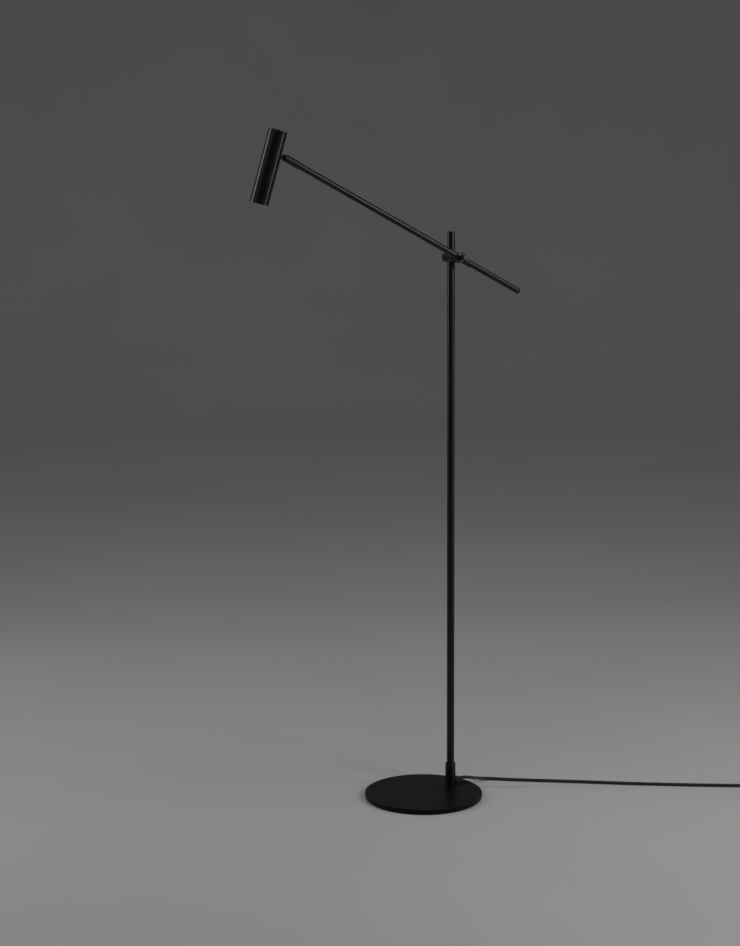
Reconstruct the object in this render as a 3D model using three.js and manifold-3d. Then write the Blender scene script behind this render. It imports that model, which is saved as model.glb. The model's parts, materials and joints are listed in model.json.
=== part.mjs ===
// Adjustable arm floor lamp, in millimetres, +Z up.
// The origin is the centre of the base's underside, and +X points from there to the pole.
import * as THREE from 'three';
import { mergeVertices } from 'three/addons/utils/BufferGeometryUtils.js';
import Module from 'manifold-3d';

const wasm = await Module();
wasm.setup();

// ---- Driving dimensions -------------------------------------------------------------------

const GAP = 0.3;                       // left between pieces that touch on the real lamp

const BASE_R = 125;
const BASE_TOP = 11;
const PAD_THICK = 1;

const POLE_X = 91;                     // pole axis, measured from the centre of the base
const POLE_R = 8;
const POLE_WALL = 1.5;
const POLE_FOOT_Z = 22.3;
const POLE_TOP_Z = 1198.3;

const SLEEVE_R = 11;
const SLEEVE_TOP_Z = 54;
const FOOT_STUB_R = 5;
const GLAND_Z = 18;
const GLAND_ANGLE = THREE.MathUtils.degToRad(-28);
const GLAND_COLLAR_R = 6.4;
const GLAND_END = 17;                  // distance from the pole axis to the end of the gland

const CLAMP_Z = 1144.3;                // height of the clamp's horizontal axis
const CLAMP_ANGLE = THREE.MathUtils.degToRad(-112.8);
const CLAMP_R = 11;
const CLAMP_BACK = -11.7;              // places along the clamp's axis, from the pole axis
const CLAMP_FRONT = 26;
const KNOB_BACK = -23;
const WASHER_THICK = 1.1;
const HUB_BACK = 27.7;
const HUB_FRONT = 46.5;
const HUB_CHAMFER = 2.2;
const GRUB_PLACE = [0, 5.4, -4.8];
const WIRE_DROP = 6;                   // the wire runs this far below the clamp's axis

const ARM_OFFSET = 37;                 // arm axis, along the clamp's axis from the pole axis
const ARM_RISE = THREE.MathUtils.degToRad(27.03);
const ARM_R = 6.5;
const ARM_WALL = 1.5;
const ARM_TAIL = 159;
const PIVOT_TO_PIN = 435.4;            // arm axis length from the clamp's axis to the head's pin
const PIVOT_SCREW_R = 2.1;
const GUIDE_R = 8;
const GUIDE_LONG = 30.4;                 // guide sleeve, long and short side, from the clamp's axis
const GUIDE_SHORT = 11.5;

const KNUCKLE_R = 7.5;
const KNUCKLE_NOSE = 7;                // from the pin to the tip
const KNUCKLE_TAIL = 33;               // from the pin to the end that meets the arm
const KNUCKLE_ROLL = THREE.MathUtils.degToRad(7.9);
const PIN_R = 1.5;
const TONGUE_THICK = 3;

const HEAD_R = 19.2;
const HEAD_WALL = 2;
const HEAD_AXIS_Y = -30.1;             // head axis, measured from the pin
const HEAD_TOP = 48;
const HEAD_BOTTOM = -99.3;
const HEAD_TILT = THREE.MathUtils.degToRad(13.27);

const CORD_R = 3.5;
const COIL_CENTRE = [505.2, -549.5];
const COIL_LIFT = 1.3;
const COIL_INNER_R = 25.6;
const COIL_OUTER_R = 47.2;
const COIL_HEIGHT = 14.3;
const PLUG_ANGLE = THREE.MathUtils.degToRad(-138.2);
const PLUG_PLACE = [514.6, -599.4, 9.3];

// The power cord's route, from the gland over the rim and along the floor to its coil.
const CORD_ROUTE = [
  [106.2, -8.1, 18], [109.8, -10, 18], [114.2, -12.3, 18], [119.8, -15.2, 17.8],
  [126, -18.2, 16.8], [133.8, -20.9, 15], [143.2, -22.7, 12.4], [153.8, -23.5, 9.6],
  [163.8, -24.7, 7], [172, -26.7, 5.1], [178.8, -30, 4.1], [184, -34.6, 3.6],
  [188.4, -40.8, 3.5], [192.6, -47.7, 3.5], [197, -55.2, 3.5], [208.4, -73.2, 3.5],
  [220.6, -91.4, 3.5], [245.7, -127.1, 3.5], [270.8, -162.8, 3.5], [295.7, -198.6, 3.5],
  [320.1, -234.4, 3.5], [350.7, -279, 3.5], [382.1, -322.9, 3.5], [414, -366.2, 3.5],
  [446.5, -409.1, 3.5], [473, -442.9, 3.5], [499.4, -475.9, 3.5], [510, -488.4, 3.7],
  [520.4, -500.6, 4.4],
];

// ---- Materials ----------------------------------------------------------------------------

function material(color, roughness, metalness) {
  return new THREE.MeshStandardMaterial({ color, roughness, metalness });
}

const BLACK_COAT = [0x17171a, 0.5, 0.2];
const BLACK_SATIN = [0x101012, 0.38, 0.3];
const STEEL = [0x9a9a9c, 0.35, 1];
const NICKEL = [0xb9b7b2, 0.3, 1];
const RUBBER = [0x1b1b1b, 0.85, 0];
const TEXTILE = [0x0c0c0c, 0.95, 0];
const NYLON = [0xd8d6cf, 0.6, 0];
const ALUMINIUM = [0xa9abad, 0.4, 1];
const OPAL = [0xf2f0ea, 0.5, 0];
const BOARD = [0x1e4a2e, 0.55, 0];
const PHOSPHOR = [0xe6c23c, 0.6, 0];

// ---- Making and joining solids ------------------------------------------------------------

// A closed three.js geometry as a manifold solid, turned right side out if its faces point in.
function solid(geometry) {
  const bare = geometry.clone();
  bare.deleteAttribute('normal');
  bare.deleteAttribute('uv');
  const merged = mergeVertices(bare, 1e-4);
  const vertProperties = new Float32Array(merged.attributes.position.array);
  const triVerts = new Uint32Array(merged.index.array);
  if (signedVolume(vertProperties, triVerts) < 0) {
    triVerts.reverse();
  }
  return new wasm.Manifold(new wasm.Mesh({ numProp: 3, vertProperties, triVerts }));
}

function signedVolume(points, triangles) {
  const [a, b, c] = [new THREE.Vector3(), new THREE.Vector3(), new THREE.Vector3()];
  let sum = 0;
  for (let i = 0; i < triangles.length; i += 3) {
    a.fromArray(points, 3 * triangles[i]);
    b.fromArray(points, 3 * triangles[i + 1]);
    c.fromArray(points, 3 * triangles[i + 2]);
    sum += a.dot(b.cross(c));
  }
  return sum / 6;
}

function geometryOf(manifold) {
  const mesh = manifold.getMesh();
  const positions = new Float32Array(mesh.numVert * 3);
  for (let i = 0; i < mesh.numVert; i += 1) {
    for (let k = 0; k < 3; k += 1) {
      positions[3 * i + k] = mesh.vertProperties[mesh.numProp * i + k];
    }
  }
  const geometry = new THREE.BufferGeometry();
  geometry.setAttribute('position', new THREE.BufferAttribute(positions, 3));
  geometry.setIndex(new THREE.BufferAttribute(new Uint32Array(mesh.triVerts), 1));
  geometry.computeVertexNormals();
  return geometry;
}

// A solid of revolution about Z from [radius, z] points. An outline that leaves the axis free
// is closed on itself, which makes a ring.
function turned(outline, segments = 32) {
  const points = outline.map(([r, z]) => new THREE.Vector2(r, z));
  if (outline[0][0] > 0) {
    points.push(points[0].clone());
  }
  return solid(new THREE.LatheGeometry(points, segments).rotateX(Math.PI / 2));
}

// A round bar about Z between two heights.
function bar(radius, low, high, segments = 32) {
  return turned([[0, low], [radius, low], [radius, high], [0, high]], segments);
}

// A round tube about Z between two heights.
function ring(inner, outer, low, high, segments = 32) {
  return turned([[inner, low], [outer, low], [outer, high], [inner, high]], segments);
}

// A hexagonal bar about Z, sized across its flats.
function hexagon(acrossFlats, low, high) {
  const geometry = new THREE.CylinderGeometry(acrossFlats / Math.sqrt(3), acrossFlats / Math.sqrt(3),
    high - low, 6);
  return solid(geometry.rotateX(Math.PI / 2).translate(0, 0, (low + high) / 2));
}

function block(low, high) {
  const size = low.map((value, i) => high[i] - value);
  const middle = low.map((value, i) => (high[i] + value) / 2);
  return solid(new THREE.BoxGeometry(...size).translate(...middle));
}

// A flat outline in X and Y, extruded along Z between two heights.
function plate(shape, low, high, curveSegments = 12) {
  const options = { depth: high - low, bevelEnabled: false, curveSegments };
  return solid(new THREE.ExtrudeGeometry(shape, options).translate(0, 0, low));
}

const alongX = (manifold) => manifold.rotate([0, 90, 0]);
const alongY = (manifold) => manifold.rotate([-90, 0, 0]);

function piece(group, name, manifold, look) {
  const mesh = new THREE.Mesh(geometryOf(manifold), material(...look));
  mesh.name = name;
  group.add(mesh);
}

function groupIn(parent, place = [0, 0, 0], turn = [0, 0, 0]) {
  const group = new THREE.Group();
  group.position.set(...place);
  group.rotation.set(...turn);
  parent.add(group);
  return group;
}

// ---- Groups: each turned frame hangs in the one before it ---------------------------------

const lamp = new THREE.Group();
const pole = groupIn(lamp, [POLE_X, 0, 0]);
// In the clamp's frame X runs along its axis towards the arm's side, and Z is up.
const clamp = groupIn(pole, [0, 0, CLAMP_Z], [0, 0, CLAMP_ANGLE]);
// In the arm's frame Y runs along the arm towards its tail, and X along the clamp's axis.
const arm = groupIn(clamp, [ARM_OFFSET, 0, 0], [-ARM_RISE, 0, 0]);
// In the knuckle's frame X is the head's pin and Y runs back along the arm.
const knuckle = groupIn(arm, [0, -PIVOT_TO_PIN, 0], [0, KNUCKLE_ROLL, 0]);
// In the head's frame X is the same pin and Z runs along the head towards its rear cap.
const head = groupIn(knuckle, [0, 0, 0], [HEAD_TILT, 0, 0]);

// ---- Base ---------------------------------------------------------------------------------

function makeBase() {
  const nutPocketTop = 6.6;
  const disc = turned([
    [0, PAD_THICK + GAP], [BASE_R - 1, PAD_THICK + GAP], [BASE_R, PAD_THICK + GAP + 1],
    [BASE_R, BASE_TOP - 0.9], [BASE_R - 0.3, BASE_TOP - 0.3], [BASE_R - 0.9, BASE_TOP],
    [0, BASE_TOP],
  ], 96);
  const pocket = bar(13, 0, nutPocketTop).add(bar(FOOT_STUB_R + 0.4, 0, BASE_TOP + 1));
  piece(lamp, 'base_disc', disc.subtract(pocket.translate([POLE_X, 0, 0])), BLACK_COAT);
  piece(lamp, 'base_pad', bar(BASE_R - 3, 0, PAD_THICK, 64), RUBBER);

  const bore = FOOT_STUB_R + GAP;
  piece(pole, 'foot_nut', hexagon(17, 1.7, 4.9).subtract(bar(bore, 1, 6)), STEEL);
  piece(pole, 'foot_washer', ring(bore, 11, 5.2, nutPocketTop - GAP), STEEL);
}

function makeFoot() {
  const chamberR = 5;
  const outside = turned([
    [0, 1.7], [FOOT_STUB_R, 1.7], [FOOT_STUB_R, BASE_TOP + GAP], [SLEEVE_R, BASE_TOP + GAP],
    [SLEEVE_R, SLEEVE_TOP_Z - 0.7], [SLEEVE_R - 0.7, SLEEVE_TOP_Z], [0, SLEEVE_TOP_Z],
  ], 40);
  const glandHole = alongX(bar(4.1, 3, 14, 24)).rotate([0, 0, GLAND_ANGLE * 180 / Math.PI]);
  const screwZ = 40;
  const screwHole = alongY(bar(2.5, 7, 12, 20)).translate([0, 0, screwZ]);
  const sleeve = outside
    .subtract(bar(POLE_R + GAP, POLE_FOOT_Z - GAP, SLEEVE_TOP_Z + 1, 40))
    .subtract(bar(chamberR, 14, POLE_FOOT_Z + 1))
    .subtract(glandHole.translate([0, 0, GLAND_Z]))
    .subtract(screwHole);
  piece(pole, 'pole_foot_sleeve', sleeve, BLACK_COAT);

  const grub = bar(2.2, POLE_R + GAP, SLEEVE_R - 0.2, 20).subtract(hexagon(2.5, 9.6, 12));
  piece(pole, 'sleeve_set_screw', alongY(grub).translate([0, 0, screwZ]), STEEL);

  const collar = alongX(turned([
    [0, 8], [GLAND_COLLAR_R, 8], [GLAND_COLLAR_R, 13], [GLAND_COLLAR_R - 0.8, 14], [4.6, 15.4],
    [4.2, GLAND_END - 0.4], [3.9, GLAND_END], [0, GLAND_END],
  ], 28)).subtract(bar(SLEEVE_R + GAP, -9, 9, 40));
  const gland = collar.add(alongX(bar(3.8, 5.5, 14, 28)));
  const glandFrame = groupIn(pole, [0, 0, GLAND_Z], [0, 0, GLAND_ANGLE]);
  piece(glandFrame, 'cable_gland', gland, RUBBER);
}

function makePole() {
  const inner = POLE_R - POLE_WALL;
  const slotZ = CLAMP_Z - WIRE_DROP;
  const slot = block([1, -9, -2.3], [9, 9, 2.3]).rotate([0, 0, CLAMP_ANGLE * 180 / Math.PI]);
  const tube = ring(inner, POLE_R, POLE_FOOT_Z, POLE_TOP_Z - 2.5)
    .subtract(slot.translate([0, 0, slotZ]));
  piece(pole, 'pole_tube', tube, BLACK_SATIN);
  piece(pole, 'pole_top_cap', turned([
    [0, POLE_TOP_Z - 9], [inner - GAP, POLE_TOP_Z - 9], [inner - GAP, POLE_TOP_Z - 2.2],
    [POLE_R, POLE_TOP_Z - 2.2], [POLE_R, POLE_TOP_Z - 1.2], [POLE_R - 0.4, POLE_TOP_Z - 0.4],
    [POLE_R - 1.2, POLE_TOP_Z], [0, POLE_TOP_Z],
  ]), BLACK_SATIN);
  piece(pole, 'pole_wire', bar(2.2, 16, slotZ - 2.4, 8), TEXTILE);
}

// ---- Power cord ---------------------------------------------------------------------------

function makeCord() {
  const route = new THREE.CatmullRomCurve3(CORD_ROUTE.map((p) => new THREE.Vector3(...p)));
  const section = new THREE.Shape().absarc(0, 0, CORD_R, 0, 2 * Math.PI);
  const options = { steps: 56, curveSegments: 5, bevelEnabled: false, extrudePath: route };
  piece(lamp, 'power_cord', solid(new THREE.ExtrudeGeometry(section, options)), TEXTILE);

  const coilFrame = groupIn(lamp, [...COIL_CENTRE, 0]);
  const low = COIL_LIFT;
  const high = COIL_LIFT + COIL_HEIGHT;
  const bevel = 2.4;
  piece(coilFrame, 'cord_coil', turned([
    [COIL_INNER_R, low + bevel], [COIL_INNER_R + bevel, low], [COIL_OUTER_R - bevel, low],
    [COIL_OUTER_R, low + bevel], [COIL_OUTER_R, high - bevel], [COIL_OUTER_R - bevel, high],
    [COIL_INNER_R + bevel, high], [COIL_INNER_R, high - bevel],
  ]), TEXTILE);
  makeTie(coilFrame);
  makePlug();
}

// A strap round the coil, on the side away from the lamp.
function makeTie(frame) {
  const thick = 1;
  const width = COIL_OUTER_R - COIL_INNER_R + 1.5;
  const height = COIL_HEIGHT + GAP + 0.1;
  const outline = roundedRectangle(width + 2 * thick, height + 2 * thick, 2.6);
  outline.holes.push(roundedRectangle(width, height, 1.6));
  const strap = plate(outline, -4.5, 4.5, 4).rotate([90, 0, 0]);
  const middle = (COIL_OUTER_R + COIL_INNER_R) / 2;
  const angle = THREE.MathUtils.degToRad(-20);
  const place = [middle * Math.cos(angle), middle * Math.sin(angle), height / 2 + thick];
  piece(groupIn(frame, place, [0, 0, angle]), 'cord_tie', strap, TEXTILE);
}

function roundedRectangle(width, height, radius) {
  const [x, y] = [width / 2 - radius, height / 2 - radius];
  return new THREE.Shape()
    .absarc(x, y, radius, 0, Math.PI / 2)
    .absarc(-x, y, radius, Math.PI / 2, Math.PI)
    .absarc(-x, -y, radius, Math.PI, 1.5 * Math.PI)
    .absarc(x, -y, radius, 1.5 * Math.PI, 2 * Math.PI);
}

// The plug points along X, starting at the end of its strain relief.
function makePlug() {
  const plug = groupIn(lamp, PLUG_PLACE, [0, 0, PLUG_ANGLE]);
  const reliefLength = 22;
  const bodyLength = 34;
  const pinReach = 19;
  const pinRoot = reliefLength + bodyLength - 8;
  const relief = alongX(turned([
    [0, 0], [3.9, 0], [4.8, reliefLength - 2], [6, reliefLength + 3], [0, reliefLength + 3],
  ], 20));
  const outline = new THREE.Shape()
    .moveTo(reliefLength, -7).lineTo(reliefLength + 12, -13)
    .lineTo(reliefLength + bodyLength, -13).lineTo(reliefLength + bodyLength, 13)
    .lineTo(reliefLength + 12, 13).lineTo(reliefLength, 7);
  const casing = plate(outline, -9, 9);
  const holes = [-9.5, 9.5].map((y) => alongX(bar(2.3, pinRoot - GAP, 90, 16)).translate([0, y, 0]));
  piece(plug, 'plug_body', relief.add(casing).subtract(holes[0]).subtract(holes[1]), RUBBER);
  const tip = reliefLength + bodyLength + pinReach;
  const pin = alongX(turned([
    [0, pinRoot], [2, pinRoot], [2, tip - 1.4], [1.3, tip - 0.3], [0, tip],
  ], 16));
  piece(plug, 'plug_pin_left', pin.translate([0, 9.5, 0]), NICKEL);
  piece(plug, 'plug_pin_right', pin.translate([0, -9.5, 0]), NICKEL);
}

// ---- Clamp on the pole --------------------------------------------------------------------

function makeClamp() {
  const body = alongX(turned([
    [0, CLAMP_BACK], [CLAMP_R - 0.5, CLAMP_BACK], [CLAMP_R, CLAMP_BACK + 0.5],
    [CLAMP_R, CLAMP_FRONT - 0.3], [CLAMP_R - 0.3, CLAMP_FRONT], [0, CLAMP_FRONT],
  ], 40));
  const cuts = [
    bar(POLE_R + GAP, -14, 14, 40),
    alongX(bar(3.3, CLAMP_BACK - 1, -2, 24)),
    alongX(bar(PIVOT_SCREW_R + GAP, 12, CLAMP_FRONT + 1, 20)),
    alongX(bar(1.7, 5, CLAMP_FRONT + 1, 16)).translate([0, 0, -WIRE_DROP]),
  ];
  piece(clamp, 'clamp_body', cuts.reduce((left, cut) => left.subtract(cut), body), BLACK_COAT);

  const washer = alongX(ring(3.2, 10.2, CLAMP_FRONT + GAP, CLAMP_FRONT + GAP + WASHER_THICK));
  const wireHole = alongX(bar(1.7, CLAMP_FRONT - 1, HUB_BACK, 16)).translate([0, 0, -WIRE_DROP]);
  piece(clamp, 'pivot_friction_washer', washer.subtract(wireHole), NYLON);
  const wire = alongX(bar(1.3, 0, CLAMP_FRONT + 1, 8));
  piece(clamp, 'clamp_wire', wire.translate([0, 0, -WIRE_DROP]), TEXTILE);
}

function makeClampKnob() {
  const face = CLAMP_BACK - GAP;
  const knobR = 10.3;
  const knob = alongX(turned([
    [0, KNOB_BACK], [knobR - 1.6, KNOB_BACK], [knobR - 0.5, KNOB_BACK + 0.5],
    [knobR, KNOB_BACK + 1.6], [knobR, face - 0.4], [knobR - 0.4, face], [0, face],
  ], 40));
  const screwHole = alongX(bar(3.3, KNOB_BACK + 3, face + 1, 24));
  const coinSlot = block([KNOB_BACK - 1, -6.5, -0.9], [KNOB_BACK + 1.1, 6.5, 0.9]);
  piece(clamp, 'clamp_knob', knob.subtract(screwHole).subtract(coinSlot), BLACK_COAT);
  piece(clamp, 'clamp_knob_screw', alongX(bar(3, KNOB_BACK + 3 + GAP, -9.9, 24)), STEEL);
  piece(clamp, 'clamp_pressure_pad', alongX(bar(2.8, -9.6, -POLE_R - 0.5, 20)), NYLON);
}

function makePivotKnob() {
  const start = HUB_FRONT + GAP;
  const end = 62;
  const barrel = turned([
    [0, start], [3.6, start], [3.6, start + 3], [5, start + 4], [5, end - 0.3], [4.7, end],
    [0, end],
  ], 32).subtract(bar(PIVOT_SCREW_R + GAP, start - 1, 56)).subtract(bar(1.8, 58, end + 1, 20));
  piece(clamp, 'pivot_knob', alongX(barrel), BLACK_COAT);
  piece(clamp, 'pivot_screw', alongX(bar(PIVOT_SCREW_R, 13, 55.6, 20)), STEEL);
  piece(clamp, 'pivot_knob_cap', alongX(turned([
    [0, 58.4], [1.5, 58.4], [1.5, end + GAP], [4.7, end + GAP], [4.7, end + 1],
    [4.1, end + 1.7], [0, end + 2],
  ], 32)), NICKEL);
}

// ---- Arm ----------------------------------------------------------------------------------

function makeHub() {
  const back = HUB_BACK - ARM_OFFSET;
  const front = HUB_FRONT - ARM_OFFSET;
  const body = alongX(turned([
    [0, back], [CLAMP_R - 0.3, back], [CLAMP_R, back + 0.3], [CLAMP_R, front - HUB_CHAMFER],
    [CLAMP_R - HUB_CHAMFER, front], [0, front],
  ], 40));
  const armHole = alongY(bar(ARM_R + GAP, -14, 14, 40));
  const screwHole = alongX(bar(PIVOT_SCREW_R + 0.4, back - 1, front + 1, 20));
  const grubHole = alongX(bar(1.9, 3, front + 1, 16)).translate(GRUB_PLACE);
  const hub = body.subtract(armHole).subtract(screwHole).subtract(grubHole)
    .subtract(wireSlot(back - 1, back + 4));
  piece(arm, 'arm_hub', hub, BLACK_COAT);

  const grub = bar(1.6, 6.2, front - 0.1, 16).subtract(hexagon(1.8, front - 1.4, front + 1));
  piece(arm, 'arm_grub_screw', alongX(grub).translate(GRUB_PLACE), NICKEL);
}

// The curved slot in the hub's back that clears the wire while the arm tilts.
function wireSlot(low, high) {
  const [start, end] = [-160, -5].map(THREE.MathUtils.degToRad);
  const shape = new THREE.Shape()
    .absarc(0, 0, WIRE_DROP + 1.8, start, end)
    .absarc(0, 0, WIRE_DROP - 1.8, end, start, true);
  const slot = plate(shape, low, high, 16);
  // Put the outline's x and y on the arm's Y and Z.
  return slot.rotate([90, 0, 90]);
}

function makeArm() {
  const inner = ARM_R - ARM_WALL;
  const headEnd = -PIVOT_TO_PIN + 10.4;
  const screwHole = alongX(bar(PIVOT_SCREW_R + 0.4, -9, 9, 20));
  const wireHole = alongX(bar(1.8, -8, -2, 16)).translate([0, -4, -2.5]);
  const tube = alongY(ring(inner, ARM_R, headEnd, ARM_TAIL - 2.8))
    .subtract(screwHole).subtract(wireHole);
  piece(arm, 'arm_tube', tube, BLACK_SATIN);

  const saddle = alongX(bar(CLAMP_R + GAP, -12, 12, 40));
  const middle = (GUIDE_LONG + GUIDE_SHORT) / 2;
  const slope = Math.atan2(GUIDE_LONG - GUIDE_SHORT, 2 * GUIDE_R) * 180 / Math.PI;
  const mitre = block([-20, 0, -40], [20, 40, 40]).rotate([slope, 0, 0]).translate([0, middle, 0]);
  const guide = alongY(ring(ARM_R + GAP, GUIDE_R, 2, 40)).subtract(saddle).subtract(mitre);
  piece(arm, 'arm_guide_sleeve', guide, BLACK_COAT);

  piece(arm, 'arm_tail_plug', alongY(turned([
    [0, ARM_TAIL - 12], [inner - GAP, ARM_TAIL - 12], [inner - GAP, ARM_TAIL - 2.5],
    [ARM_R, ARM_TAIL - 2.5], [ARM_R, ARM_TAIL - 1.3], [ARM_R - 0.4, ARM_TAIL - 0.5],
    [ARM_R - 1.2, ARM_TAIL], [0, ARM_TAIL],
  ])), BLACK_SATIN);
  const wire = alongY(bar(1.1, headEnd + 1, -5.2, 8));
  piece(arm, 'arm_wire', wire.translate([0, 0, -2.6]), TEXTILE);
}

// ---- Knuckle between arm and head ---------------------------------------------------------

function makeKnuckle() {
  const nose = [];
  for (let i = 0; i <= 6; i += 1) {
    const angle = (i / 6) * 1.1;
    nose.push([KNUCKLE_R * Math.cos(angle), -KNUCKLE_NOSE * Math.sin(angle) / Math.sin(1.1)]);
  }
  const outside = turned([
    [0, KNUCKLE_TAIL], [KNUCKLE_R - 0.3, KNUCKLE_TAIL], [KNUCKLE_R, KNUCKLE_TAIL - 0.3],
    ...nose, [0, -KNUCKLE_NOSE],
  ]);
  const slotHalf = TONGUE_THICK / 2 + 0.35;
  const sleeve = alongY(outside)
    .subtract(alongY(bar(ARM_R + 0.25, 10.1, KNUCKLE_TAIL + 1, 40)))
    .subtract(alongY(bar(1.6, 4, 11, 16)))
    .subtract(block([-slotHalf, -KNUCKLE_NOSE - 1, -9], [slotHalf, 6, 9]))
    .subtract(alongX(bar(PIN_R + GAP, -9, 9, 20)));
  piece(knuckle, 'knuckle_sleeve', sleeve, BLACK_COAT);
  piece(knuckle, 'knuckle_pin', alongX(bar(PIN_R, -7, 7, 20)), STEEL);
}

// ---- Head ---------------------------------------------------------------------------------

function makeHeadShell() {
  const inner = HEAD_R - HEAD_WALL;
  const bezelTop = HEAD_BOTTOM + 5.5;
  const axis = [0, HEAD_AXIS_Y, 0];
  const shell = groupIn(head, axis);
  const tongueHole = block([-1.85, 15, -4.6], [1.85, 21, 4.6]);
  const screwHoles = [-6.8, 6.8].map((z) => alongY(bar(1.5, 10, 18.5, 16)).translate([0, 0, z]));
  const tube = ring(inner, HEAD_R, bezelTop + GAP, HEAD_TOP - 3, 40)
    .subtract(tongueHole).subtract(screwHoles[0]).subtract(screwHoles[1]);
  piece(shell, 'head_tube', tube, BLACK_COAT);

  piece(shell, 'front_bezel', turned([
    [13.8, HEAD_BOTTOM], [HEAD_R - 0.4, HEAD_BOTTOM], [HEAD_R, HEAD_BOTTOM + 0.4],
    [HEAD_R, bezelTop], [inner - GAP, bezelTop], [inner - GAP, bezelTop + 6],
    [15.2, bezelTop + 6], [15.2, HEAD_BOTTOM + 1.3], [13.8, HEAD_BOTTOM + 1.3],
  ], 40), BLACK_COAT);
  piece(shell, 'lens', bar(14.9, HEAD_BOTTOM + 1.6, HEAD_BOTTOM + 3.4, 40), OPAL);

  const capLow = HEAD_TOP - 2.7;
  const capHoles = [-10, 10].map((y) => bar(1.6, 30, 60, 16).translate([0, y, 0]));
  const cap = turned([
    [0, capLow], [inner - 1.8, capLow], [inner - 1.8, capLow - 5], [inner - GAP, capLow - 5],
    [inner - GAP, capLow], [HEAD_R, capLow], [HEAD_R, HEAD_TOP - 0.5], [HEAD_R - 0.5, HEAD_TOP],
    [0, HEAD_TOP],
  ], 40).subtract(bar(3.85, 30, 60, 24)).subtract(capHoles[0]).subtract(capHoles[1]);
  piece(shell, 'rear_cap', cap, BLACK_COAT);
  ['left', 'right'].forEach((side, i) => {
    const screw = bar(1.3, HEAD_TOP - 7, HEAD_TOP + 0.4, 16).add(turned([
      [0, HEAD_TOP + GAP], [2.5, HEAD_TOP + GAP], [2.3, HEAD_TOP + 0.9], [1.4, HEAD_TOP + 1.3],
      [0, HEAD_TOP + 1.3],
    ], 24)).subtract(hexagon(1.6, HEAD_TOP + 0.5, HEAD_TOP + 3));
    piece(groupIn(shell, [0, i === 0 ? -10 : 10, 0]), `cap_screw_${side}`, screw, STEEL);
  });
  return shell;
}

function makeLightEngine(shell) {
  const seat = HEAD_BOTTOM + 28;
  piece(shell, 'reflector', turned([
    [14.8, HEAD_BOTTOM + 3.8], [14.9, HEAD_BOTTOM + 4.8], [7, seat], [6, seat],
    [13.8, HEAD_BOTTOM + 3.8],
  ]), ALUMINIUM);
  piece(shell, 'led_chip', bar(4.6, seat - 0.6, seat + 0.6, 24), PHOSPHOR);
  piece(shell, 'led_board', bar(16, seat + 0.9, seat + 2.4), BOARD);
  piece(shell, 'heat_sink', heatSink(seat + 2.7, -14), ALUMINIUM);
  piece(shell, 'driver_board', block([-0.8, -12, -9], [0.8, 9, 27]), BOARD);
  piece(shell, 'head_wire', alongY(bar(1, 9.4, 13, 8)).translate([0, 0, 2.6]), TEXTILE);

  const switchCase = bar(7.5, 29, HEAD_TOP - 3, 24).subtract(bar(5.2, 37, 50, 24));
  piece(shell, 'switch_case', switchCase, RUBBER);
  piece(shell, 'switch_button', turned([
    [0, 40], [4.8, 40], [4.8, 42], [3.5, 42], [3.5, HEAD_TOP + 1.4], [3.1, HEAD_TOP + 1.8],
    [2.2, HEAD_TOP + 2], [0, HEAD_TOP + 2],
  ], 24), BLACK_SATIN);
}

// A round core with straight fins on its outside.
function heatSink(low, high) {
  const fins = 10;
  const [coreR, tipR, halfWidth] = [7.5, 16.4, 0.8];
  let sink = bar(coreR, low, high, 30);
  for (let i = 0; i < fins; i += 1) {
    const fin = block([coreR - 1, -halfWidth, low], [tipR, halfWidth, high]);
    sink = sink.add(fin.rotate([0, 0, 360 * (i + 0.5) / fins]));
  }
  return sink;
}

function makeTongue() {
  const eyeR = 4.4;
  const half = TONGUE_THICK / 2;
  const wallY = HEAD_AXIS_Y + HEAD_R - HEAD_WALL;
  const eye = alongX(bar(eyeR, -half, half, 32));
  const neck = block([-half, wallY - 1.6, -4.2], [half, -1, 4.2]);
  const footSize = 5.5;
  const foot = block([-footSize, wallY - 3.8, -10], [footSize, wallY - 1.4, 10]);
  const screwHoles = [-6.8, 6.8].map((z) => {
    return alongY(bar(1.5, wallY - 6, wallY, 16)).translate([0, 0, z]);
  });
  const tongue = eye.add(neck).subtract(block([-3, wallY - 1.2, 4.2], [3, wallY, 12])).add(foot)
    .subtract(alongX(bar(PIN_R + GAP, -4, 4, 20)))
    .subtract(screwHoles[0]).subtract(screwHoles[1]);
  piece(head, 'knuckle_tongue', tongue, BLACK_COAT);
  ['lower', 'upper'].forEach((side, i) => {
    const screw = turned([
      [0, wallY - 5.6], [2.3, wallY - 5.6], [2.3, wallY - 4.1], [1.2, wallY - 4.1],
      [1.2, wallY + 1], [0, wallY + 1],
    ], 16);
    piece(groupIn(head, [0, 0, i === 0 ? -6.8 : 6.8]), `tongue_screw_${side}`, alongY(screw), STEEL);
  });
}

makeBase();
makeFoot();
makePole();
makeCord();
makeClamp();
makeClampKnob();
makePivotKnob();
makeHub();
makeArm();
makeKnuckle();
makeLightEngine(makeHeadShell());
makeTongue();

export default lamp;
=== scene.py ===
"""Adjustable arm floor lamp: the looks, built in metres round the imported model."""
import json
import math

import bmesh
import bpy
from mathutils import Matrix, Vector


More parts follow.
